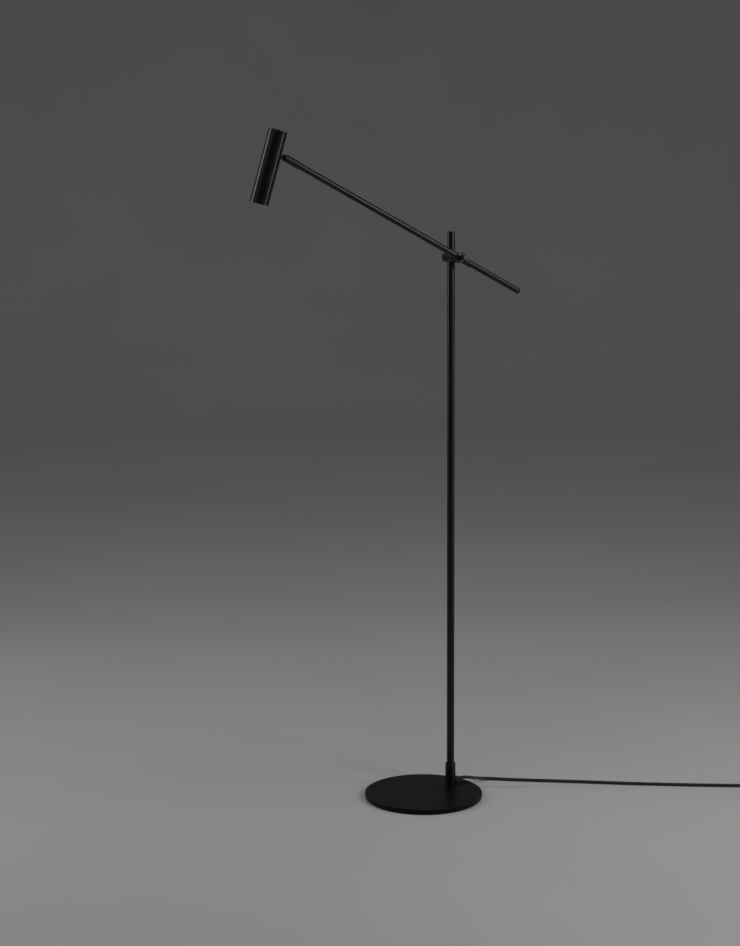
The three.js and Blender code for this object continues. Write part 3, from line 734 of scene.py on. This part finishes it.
def coil_point(turn):
    """The coiled cord after a number of turns: inwards on the floor, then back out on top."""
    low = COIL_LIFT + CORD_R
    layers = len(COIL_RADII)
    pitch = COIL_RADII[0] - COIL_RADII[1]
    whole, part = int(turn), turn - int(turn)
    step = ease((part - 0.8) / 0.2)
    height = low
    if turn < layers - 1:
        radius = COIL_RADII[whole] - pitch * step
    elif turn < layers:
        radius = COIL_RADII[-1] - 3 * MM * math.sin(math.pi * step)
        height = low + 2 * CORD_R * step
    else:
        radius = COIL_RADII[-1] + pitch * (whole - layers + step)
        height = low + 2 * CORD_R
    angle = COIL_START - 2 * math.pi * turn
    return Vector((COIL_CENTRE[0] + radius * math.cos(angle),
                   COIL_CENTRE[1] + radius * math.sin(angle), height))


def cord_line():
    """The cord's centreline, from the strain relief through the coil to the plug."""
    turns = len(COIL_RADII) + COIL_TURNS_UP
    steps_per_turn = 40
    coil = [coil_point(i / steps_per_turn) for i in range(int(turns * steps_per_turn) + 1)]
    plug_end = PLUG @ Vector((0.6 * MM, 0, 0))
    lead = coil[-1].lerp(plug_end, 0.5)
    return through([*CORD_ROUTE, *coil, lead, plug_end], 3 * MM)


def make_cord():
    line = cord_line()
    sides = 20
    vertices, along, travelled = [], [], 0.0
    normal = Vector((0, 0, 1))
    for i, point in enumerate(line):
        ahead = (line[min(i + 1, len(line) - 1)] - line[max(i - 1, 0)]).normalized()
        normal = (normal - ahead * normal.dot(ahead)).normalized()
        across = ahead.cross(normal)
        travelled += (point - line[i - 1]).length if i else 0.0
        along.append(travelled)
        for k in range(sides):
            angle = 2 * math.pi * k / sides
            vertices.append(point + CORD_R * (normal * math.cos(angle) + across * math.sin(angle)))
    faces = []
    for i in range(len(line) - 1):
        for k in range(sides):
            n = (k + 1) % sides
            faces.append((i * sides + k, i * sides + n, (i + 1) * sides + n, (i + 1) * sides + k))
    faces.append(tuple(range(sides)))
    faces.append(tuple((len(line) - 1) * sides + k for k in range(sides)))
    mesh = mesh_from("cord", vertices, faces)
    places = mesh.uv_layers.new(name="cord")
    for polygon in mesh.polygons:
        if len(polygon.loop_indices) != 4:
            continue
        i, k = divmod(polygon.index, sides)
        corners = [(k, i), (k + 1, i), (k + 1, i + 1), (k, i + 1)]
        for loop, (turn, step) in zip(polygon.loop_indices, corners):
            places.data[loop].uv = (turn / sides, along[step])
    face_outwards(mesh)
    cord = finish_mesh("mains_cord", mesh, TEXTILE, "base",
                       ["power_cord", "cord_coil"], 60)
    tie, plug, pins = make_tie(), make_plug(), make_pins()


def rounded_loop(half_width, half_height, radius, steps=8):
    """Points round a rectangle with round corners."""
    points = []
    for quarter in range(4):
        sign_x = 1 if quarter in (0, 3) else -1
        sign_y = 1 if quarter in (0, 1) else -1
        for i in range(steps + 1):
            angle = math.pi / 2 * (quarter + i / steps)
            points.append((sign_x * (half_width - radius) + radius * math.cos(angle),
                           sign_y * (half_height - radius) + radius * math.sin(angle)))
    return points


def make_tie():
    """A strap round the coil's turns, as one closed loop."""
    low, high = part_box("cord_tie")
    coil_place = Matrix.Translation((*COIL_CENTRE, (low.z + high.z) / 2))
    place = (coil_place @ Matrix.Rotation(TIE_ANGLE, 4, "Z")
             @ Matrix.Translation((COIL_RADII[1], 0, 0)))
    thick, half_band = 0.9 * MM, 4.4 * MM
    half_height = (high.z - low.z) / 2 - thick / 2 - 0.05 * MM
    half_width = 11.4 * MM
    loop = rounded_loop(half_width, half_height, 2.4 * MM)
    section = rounded_loop(half_band, thick / 2, 0.4 * MM, 3)
    vertices, faces = [], []
    for i, (x, z) in enumerate(loop):
        before, after = Vector(loop[i - 1]), Vector(loop[(i + 1) % len(loop)])
        ahead = (after - before).normalized()
        outward = Vector((ahead.y, -ahead.x))
        for y, off in section:
            vertices.append((x + outward.x * off, y, z + outward.y * off))
    count, ring = len(loop), len(section)
    for i in range(count):
        for k in range(ring):
            n = (k + 1) % ring
            j = (i + 1) % count
            faces.append((i * ring + k, i * ring + n, j * ring + n, j * ring + k))
    mesh = mesh_from("tie", vertices, faces, place)
    face_outwards(mesh)
    return finish_mesh("coil_tie", mesh, STRAP, "base", ["cord_tie"], 60)


def superellipse(half_width, half_height, power, count):
    """Points round an outline that is round at power 2 and squarer above it."""
    points = []
    for i in range(count):
        angle = 2 * math.pi * i / count
        c, s = math.cos(angle), math.sin(angle)
        points.append((math.copysign(abs(c) ** (2 / power), c) * half_width,
                       math.copysign(abs(s) ** (2 / power), s) * half_height))
    return points


def loft(name, sections, place):
    """A skin through (x, half width, half height, power) sections, in mm, closed at both ends."""
    vertices, faces = [], []
    count = 64
    for x, width, height, power in sections:
        for y, z in superellipse(width * MM, height * MM, power, count):
            vertices.append((x * MM, y, z))
    for i in range(len(sections) - 1):
        for k in range(count):
            n = (k + 1) % count
            faces.append((i * count + k, i * count + n, (i + 1) * count + n, (i + 1) * count + k))
    faces.append(tuple(range(count)))
    faces.append(tuple((len(sections) - 1) * count + k for k in range(count)))
    mesh = mesh_from(name, vertices, faces, place)
    face_outwards(mesh)
    return mesh


def make_plug():
    sections = [(0, 3.5, 3.5, 2), (0.4, 3.9, 3.9, 2)]
    ribs = 5
    for i in range(ribs):
        x = 1.6 + 3.6 * i
        radius = 3.95 + 0.85 * i / ribs
        sections += [(x, radius, radius, 2), (x + 0.3, radius - 0.8, radius - 0.8, 2),
                     (x + 1.3, radius - 0.8, radius - 0.8, 2), (x + 1.6, radius, radius, 2)]
    sections += [(20.4, 5.0, 5.0, 2), (22, 5.6, 5.4, 2.1), (24, 6.8, 5.9, 2.3),
                 (27, 9.0, 6.8, 2.7), (30, 11.2, 7.8, 3.2), (33, 12.6, 8.6, 3.8),
                 (36, 13, 9, 4.3), (44, 13, 9, 4.6), (54.6, 12.9, 8.9, 4.8), (55.6, 12.4, 8.4, 4.8),
                 (56, 11.6, 7.6, 4.8)]
    body = loft("plug", sections, PLUG)
    holes = [rod(2.15, 47, 60, PLUG @ moved(0, y, 0) @ Z_ALONG_X)
             for y in (-PLUG_PIN_Y, PLUG_PIN_Y)]
    body = cut(body, *holes)
    return finish_mesh("plug", body, PLASTIC, "base", ["plug_body"], 50)


def make_pins():
    """Two contact pins, insulated for the first part of their length."""
    made = []
    start, insulated_to, tip = 48, 65.8, 75
    sheath_r, pin_r = 2, 1.85
    outline = [
        (0, start, 0), (sheath_r, start, 0.1), (sheath_r, insulated_to - 0.2, 0.05),
        (pin_r, insulated_to + 0.1, 0.05), (pin_r, tip - 1, 0.3), (1.3, tip, 0.5), (0, tip, 0),
    ]
    for side, y in (("left", PLUG_PIN_Y), ("right", -PLUG_PIN_Y)):
        place = PLUG @ moved(0, y, 0) @ Z_ALONG_X
        mesh = lathe_mesh(f"pin_{side}", outline, place, 48, 3)
        mesh.materials.append(NICKEL)
        mesh.materials.append(PLASTIC)
        to_local = place.inverted()
        for polygon in mesh.polygons:
            depth = (to_local @ polygon.center).z
            polygon.material_index = 1 if depth < insulated_to * MM else 0
        made.append(finish_mesh(f"pin_{side}", mesh, NICKEL, "base",
                                [f"plug_pin_{side}"]))
    return made


# ---- Clamp and its two knobs ----------------------------------------------------------------

def make_clamp():
    place = CLAMP @ Z_ALONG_X
    body = lathe_mesh("clamp", [
        (0, CLAMP_BACK, 0), (CLAMP_R, CLAMP_BACK, 0.6), (CLAMP_R, CLAMP_FRONT, 0.35),
        (0, CLAMP_FRONT, 0),
    ], place, 128)
    past_front = CLAMP_FRONT + 2
    pole_hole = rod(POLE_R + GAP, -14, 14, CLAMP, 96)
    knob_screw_hole = rod(3.3, -13, -2, place)
    pivot_screw_hole = rod(2.4, 12, past_front, place)
    wire_hole = rod(1.7, 5, past_front, CLAMP @ moved(0, 0, -WIRE_DROP) @ Z_ALONG_X, 24)
    body = cut(body, pole_hole, knob_screw_hole, pivot_screw_hole, wire_hole)
    made = finish_mesh("clamp", body, MATT_COAT, "clamp", ["clamp_body"])
    soften(made, 0.2)


def flutes(count, depth_mm, is_on_grip):
    """A shape for lathe_mesh that presses grooves into the part of the surface that is held."""
    def fluted(angle, r, z):
        if not is_on_grip(r, z):
            return r
        return r - depth_mm * MM * (0.5 - 0.5 * math.cos(count * angle)) ** 2
    return fluted


def make_rear_knob():
    count = 48
    face, back, bore_r, bore_end = CLAMP_BACK - GAP, REAR_KNOB_BACK, 3.3, REAR_KNOB_BACK + 3
    fluted = flutes(count, 0.28, lambda r, z: r > (REAR_KNOB_R - 0.05) * MM)
    knob = lathe_mesh("rear_knob", [
        (0, back, 0), (REAR_KNOB_R, back, 1.3), (REAR_KNOB_R, back + 1.4, 0),
        (REAR_KNOB_R, face - 1.4, 0), (REAR_KNOB_R, face, 0.5), (bore_r, face, 0.2),
        (bore_r, bore_end, 0), (0, bore_end, 0),
    ], CLAMP @ Z_ALONG_X, count * 6, 5, fluted)
    half_long, half_wide = 6.5, 0.9
    slot = box_mesh("work_slot", (back - 1, -half_long, -half_wide),
                    (back + 1.1, half_long, half_wide), CLAMP, 0.25)
    finish_mesh("rear_knob", cut(knob, slot), MATT_COAT, "rear_knob", ["clamp_knob"])


def make_tilt_knob():
    place = CLAMP @ Z_ALONG_X
    count = 36
    start, grip_start, grip_end = 46.8, 51.4, 60.9
    radius, neck_r, end = TILT_KNOB_R, 3.6, TILT_KNOB_END
    bore_r, bore_end, recess_r, recess_end = 2.4, 56, 1.8, 58
    fluted = flutes(count, 0.16, lambda r, z: r > (radius - 0.05) * MM
                    and grip_start * MM < z < grip_end * MM)
    barrel = lathe_mesh("tilt_knob", [
        (0, bore_end, 0), (bore_r, bore_end, 0), (bore_r, start, 0.1), (neck_r, start, 0.2),
        (neck_r, 50, 0.4), (radius, 50.4, 0.4), (radius, grip_start - 0.2, 0),
        (radius, grip_start + 0.1, 0), (radius, grip_end - 0.1, 0), (radius, grip_end + 0.2, 0),
        (radius, end, 0.3), (recess_r, end, 0), (recess_r, recess_end, 0), (0, recess_end, 0),
    ], place, count * 6, 3, fluted)
    finish_mesh("tilt_knob", barrel, MATT_COAT, "tilt_knob", ["pivot_knob"])
    cap_r, spigot_r, spigot_end = 4.75, recess_r - GAP, recess_end + 0.4
    cap = lathe_mesh("tilt_knob_cap", [
        (0, spigot_end, 0), (spigot_r, spigot_end, 0.1), (spigot_r, end + GAP, 0),
        (cap_r, end + GAP, 0.15), (cap_r, end + 2, 0.5), (0, end + 2, 0),
    ], place, 96, 5)
    finish_mesh("tilt_knob_cap", cap, DARK_NICKEL, "tilt_knob", ["pivot_knob_cap"])


# ---- Arm ------------------------------------------------------------------------------------

def make_hub():
    place = ARM @ Z_ALONG_X
    body = lathe_mesh("hub", [
        (0, HUB_BACK, 0), (CLAMP_R, HUB_BACK, 0.35), (CLAMP_R, HUB_FRONT - HUB_CHAMFER, 0.25),
        (CLAMP_R - HUB_CHAMFER, HUB_FRONT, 0.25), (0, HUB_FRONT, 0),
    ], place, 128, 3)
    arm_hole = rod(ARM_R + GAP, -14, 14, ARM @ Z_ALONG_Y, 96)
    screw_hole = rod(2.5, -12, 12, place)
    grub_hole = rod(1.9, 3, 12, ARM @ moved(0, 5.4, -4.8) @ Z_ALONG_X, 24)
    body = cut(body, arm_hole, screw_hole, grub_hole, wire_slot(HUB_BACK - 1, HUB_BACK + 4))
    made = finish_mesh("hub", body, HEAD_COAT, "arm", ["arm_hub"], 30)
    soften(made, 0.15)


def wire_slot(low, high):
    """The curved slot that clears the wire while the arm tilts."""
    start, end = math.radians(-160), math.radians(-5)
    steps = 32
    outer, inner = WIRE_DROP + 1.8, WIRE_DROP - 1.8
    arc = [start + (end - start) * i / steps for i in range(steps + 1)]
    outline = [(outer * math.cos(a), outer * math.sin(a)) for a in arc]
    outline += [(inner * math.cos(a), inner * math.sin(a)) for a in reversed(arc)]
    count = len(outline)
    vertices = [(x * MM, y * MM, z * MM) for x in (low, high) for y, z in outline]
    faces = [tuple(range(count)), tuple(range(count, 2 * count))]
    faces += [(i, (i + 1) % count, count + (i + 1) % count, count + i) for i in range(count)]
    mesh = mesh_from("work_slot", vertices, faces, ARM)
    face_outwards(mesh)
    return mesh


def make_arm():
    tube_end = ARM_TAIL - 2.8
    tube = lathe_mesh("arm", [
        (ARM_BORE, ARM_HEAD_END, 0), (ARM_R, ARM_HEAD_END, 0.2), (ARM_R, tube_end, 0.15),
        (ARM_BORE, tube_end, 0),
    ], ARM @ Z_ALONG_Y, 96, 3)
    screw_hole = rod(2.5, -9, 9, ARM @ Z_ALONG_X)
    wire_hole = rod(1.8, -8, -2, ARM @ moved(0, -4, -2.5) @ Z_ALONG_X, 24)
    tube = cut(tube, screw_hole, wire_hole)
    finish_mesh("arm", tube, ARM_SATIN, "arm", ["arm_tube"])


def make_guide():
    """The guide sleeve, saddled to the hub in front and mitred behind."""
    bore, before, beyond = ARM_R + GAP, 2, 40
    guide = lathe_mesh("guide", [
        (bore, before, 0), (GUIDE_R, before, 0), (GUIDE_R, beyond, 0), (bore, beyond, 0),
    ], ARM @ Z_ALONG_Y, 128, 1)
    saddle = rod(CLAMP_R + GAP, -12, 12, ARM @ Z_ALONG_X, 96)
    slope = math.atan2(GUIDE_LONG - GUIDE_SHORT, 2 * GUIDE_R)
    mitre_place = (ARM @ moved(0, (GUIDE_LONG + GUIDE_SHORT) / 2, 0)
                   @ Matrix.Rotation(slope, 4, "X"))
    mitre = box_mesh("work_mitre", (-20, 0, -40), (20, 40, 40), mitre_place)
    made = finish_mesh("guide", cut(guide, saddle, mitre), MATT_COAT, "arm",
                       ["arm_guide_sleeve"])
    soften(made, 0.5)


def make_arm_end():
    plug_start, plug_r, rim = ARM_TAIL - 12, ARM_BORE - GAP, ARM_TAIL - 2.5
    plug = lathe_mesh("arm_end", [
        (0, plug_start, 0), (plug_r, plug_start, 0.3), (plug_r, rim, 0), (ARM_R, rim, 0.15),
        (ARM_R, ARM_TAIL, 1.2), (0, ARM_TAIL, 0),
    ], ARM @ Z_ALONG_Y, 96, 6)
    finish_mesh("arm_end", plug, ARM_SATIN, "arm", ["arm_tail_plug"])


# ---- Knuckle --------------------------------------------------------------------------------

def make_knuckle():
    place = KNUCKLE @ Z_ALONG_Y
    nose_steps, sweep = 12, 1.1
    nose = []
    for i in range(nose_steps + 1):
        angle = sweep * i / nose_steps
        reach = -KNUCKLE_NOSE * math.sin(angle) / math.sin(sweep)
        nose.append((KNUCKLE_R * math.cos(angle), reach, 0))
    socket_r, socket_end = ARM_R + 0.25, 10.1
    sleeve = lathe_mesh("knuckle", [
        (0, socket_end, 0), (socket_r, socket_end, 0), (socket_r, KNUCKLE_TAIL, 0.1),
        (KNUCKLE_R, KNUCKLE_TAIL, 0.3), *nose, (0, -KNUCKLE_NOSE, 0),
    ], place, 128, 3)
    slot = box_mesh("work_slot", (-TONGUE_ROOM, -8, -9), (TONGUE_ROOM, 6, 9), KNUCKLE)
    wire_hole = rod(1.6, 4, 12, place, 32)
    pin_hole = rod(PIN_R + GAP, -9, 9, KNUCKLE @ Z_ALONG_X)
    sleeve = cut(sleeve, slot, wire_hole, pin_hole)
    made = finish_mesh("knuckle", sleeve, MATT_COAT, "knuckle", ["knuckle_sleeve"])
    soften(made, 0.2)
    half_long = 7
    pin = lathe_mesh("pin", [
        (0, -half_long, 0), (PIN_R, -half_long, 0.3), (PIN_R, half_long, 0.3), (0, half_long, 0),
    ], KNUCKLE @ Z_ALONG_X, 48)
    finish_mesh("pin", pin, DARK_STEEL, "knuckle", ["knuckle_pin"])


# ---- Head -----------------------------------------------------------------------------------

def make_head():
    tube_low, tube_top = BEZEL_TOP + GAP, HEAD_TOP - 3
    tube = lathe_mesh("head", [
        (HEAD_BORE, tube_low, 0), (HEAD_R, tube_low, 0.45), (HEAD_R, tube_top, 0.3),
        (HEAD_BORE, tube_top, 0),
    ], SHELL, 160, 3)
    half_high = 4.6
    tongue_hole = box_mesh("work_hole", (-TONGUE_ROOM, 15, -half_high),
                           (TONGUE_ROOM, 21, half_high), SHELL)
    screw_holes = [rod(1.5, 10, 18.5, SHELL @ moved(0, 0, z) @ Z_ALONG_Y, 24)
                   for z in (-TONGUE_SCREW_Z, TONGUE_SCREW_Z)]
    tube = cut(tube, tongue_hole, *screw_holes)
    finish_mesh("head", tube, HEAD_COAT, "head", ["head_tube"])


def make_bezel():
    spigot_top, seat, mouth_r, throat_r = BEZEL_TOP + 6, HEAD_BOTTOM + 1.3, 13.8, 15.2
    bezel = lathe_mesh("bezel", [
        (mouth_r, HEAD_BOTTOM, 0.3), (HEAD_R, HEAD_BOTTOM, 0.5), (HEAD_R, BEZEL_TOP, 0.45),
        (HEAD_LINER_R, BEZEL_TOP, 0), (HEAD_LINER_R, spigot_top, 0.3), (throat_r, spigot_top, 0.2),
        (throat_r, seat, 0), (mouth_r, seat, 0.2),
    ], SHELL, 160, 4)
    finish_mesh("bezel", bezel, HEAD_COAT, "head", ["front_bezel"])


def make_lens():
    lens_top = HEAD_BOTTOM + 3.4
    lens = lathe_mesh("diffuser", [
        (0, HEAD_BOTTOM + 1, 0), (7, HEAD_BOTTOM + 1.2, 3), (LENS_R, HEAD_BOTTOM + 1.6, 0.3),
        (LENS_R, lens_top, 0.2), (0, lens_top, 0),
    ], SHELL, 128, 4)
    finish_mesh("diffuser", lens, OPAL, "head", ["lens"])


def make_reflector():
    mouth, waist, seat = HEAD_BOTTOM + 3.8, HEAD_BOTTOM + 16.3, HEAD_BOTTOM + 28
    cup = lathe_mesh("cup", [
        (14.8, mouth, 0.1), (14.9, mouth + 1, 0.1), (11.6, waist, 8), (7, seat, 0.3),
        (6, seat, 0.1), (10.7, waist, 8), (13.8, mouth, 0.1),
    ], SHELL, 128, 5)
    finish_mesh("cup", cup, ALUMINIUM, "head", ["reflector"])


def make_rear_cap():
    cap_low = HEAD_TOP - 2.7
    spigot_low, spigot_bore = cap_low - 5, 15.4
    cap = lathe_mesh("end_cap", [
        (0, cap_low, 0), (spigot_bore, cap_low, 0), (spigot_bore, spigot_low, 0.2),
        (HEAD_LINER_R, spigot_low, 0.3), (HEAD_LINER_R, cap_low, 0), (HEAD_R, cap_low, 0.3),
        (HEAD_R, HEAD_TOP, 0.6), (0, HEAD_TOP, 0),
    ], SHELL, 160, 5)
    below, above = 30, 60
    button_hole = rod(BUTTON_R + 0.35, below, above, SHELL, 64)
    screw_holes = [rod(CAP_SCREW_R + GAP, below, above, SHELL @ moved(0, y, 0), 32)
                   for y in (-CAP_SCREW_Y, CAP_SCREW_Y)]
    cap = cut(cap, button_hole, *screw_holes)
    made = finish_mesh("end_cap", cap, HEAD_COAT, "head", ["rear_cap"])
    soften(made, 0.12, 50)


def make_cap_screw(side, place):
    end, under_head, rim, crown = HEAD_TOP - 7, HEAD_TOP + GAP, HEAD_TOP + 1.1, HEAD_TOP + 1.3
    head_r = 2.5
    screw = lathe_mesh(f"screw_{side}", [
        (0, end, 0), (CAP_SCREW_R, end, 0.3), (CAP_SCREW_R, under_head, 0),
        (head_r, under_head, 0.15), (head_r, rim, 0.5), (1.6, crown, 0.4), (0, crown, 0),
    ], place, 64, 4)
    screw = cut(screw, hexagon(1.6, HEAD_TOP + 0.5, HEAD_TOP + 3, place))
    made = finish_mesh(f"screw_{side}", screw, DARK_STEEL, "head",
                       [f"cap_screw_{side}"], 30)
    soften(made, 0.06)


def make_button():
    flange_r, flange_low, flange_top = 4.8, HEAD_TOP - 8, HEAD_TOP - 6
    button = lathe_mesh("push_button", [
        (0, flange_low, 0), (flange_r, flange_low, 0.2), (flange_r, flange_top, 0.2),
        (BUTTON_R, flange_top, 0.1), (BUTTON_R, HEAD_TOP + 2, 0.7), (2.4, HEAD_TOP + 1.8, 1.5),
        (0, HEAD_TOP + 1.7, 0),
    ], SHELL, 96, 5)
    finish_mesh("push_button", button, BUTTON, "button", ["switch_button"])


# ---- CAD nodes that stay, with their own finishes -------------------------------------------

KEPT = {
    "base_pad": RUBBER, "foot_nut": STEEL, "foot_washer": STEEL, "sleeve_set_screw": DARK_STEEL,
    "pole_wire": LEAD, "clamp_wire": LEAD, "arm_wire": LEAD, "head_wire": LEAD,
    "pivot_friction_washer": NYLON, "clamp_knob_screw": STEEL, "clamp_pressure_pad": NYLON,
    "pivot_screw": STEEL, "arm_grub_screw": DARK_NICKEL, "led_chip": PHOSPHOR, "led_board": BOARD,
    "heat_sink": ALUMINIUM, "driver_board": BOARD, "switch_case": PLASTIC,
    "knuckle_tongue": MATT_COAT, "tongue_screw_lower": STEEL, "tongue_screw_upper": STEEL,
}


def dress_kept_nodes():
    for name, material in KEPT.items():
        node = frame["nodes"][name]
        node.data.materials.clear()
        node.data.materials.append(material)
        node.data.polygons.foreach_set("use_smooth", [True] * len(node.data.polygons))
        node.data.set_sharp_from_angle(angle=math.radians(32))


make_camera()
make_cord()
make_floor()
make_lights()
make_base()
make_foot()
make_gland()
make_pole()
make_clamp()
make_rear_knob()
make_tilt_knob()
make_hub()
make_arm()
make_guide()
make_arm_end()
make_knuckle()
make_head()
make_bezel()
make_lens()
make_reflector()
make_rear_cap()
for side, y in (("left", -CAP_SCREW_Y), ("right", CAP_SCREW_Y)):
    make_cap_screw(side, SHELL @ moved(0, y, 0))
make_button()
dress_kept_nodes()
keep_faces_flat()
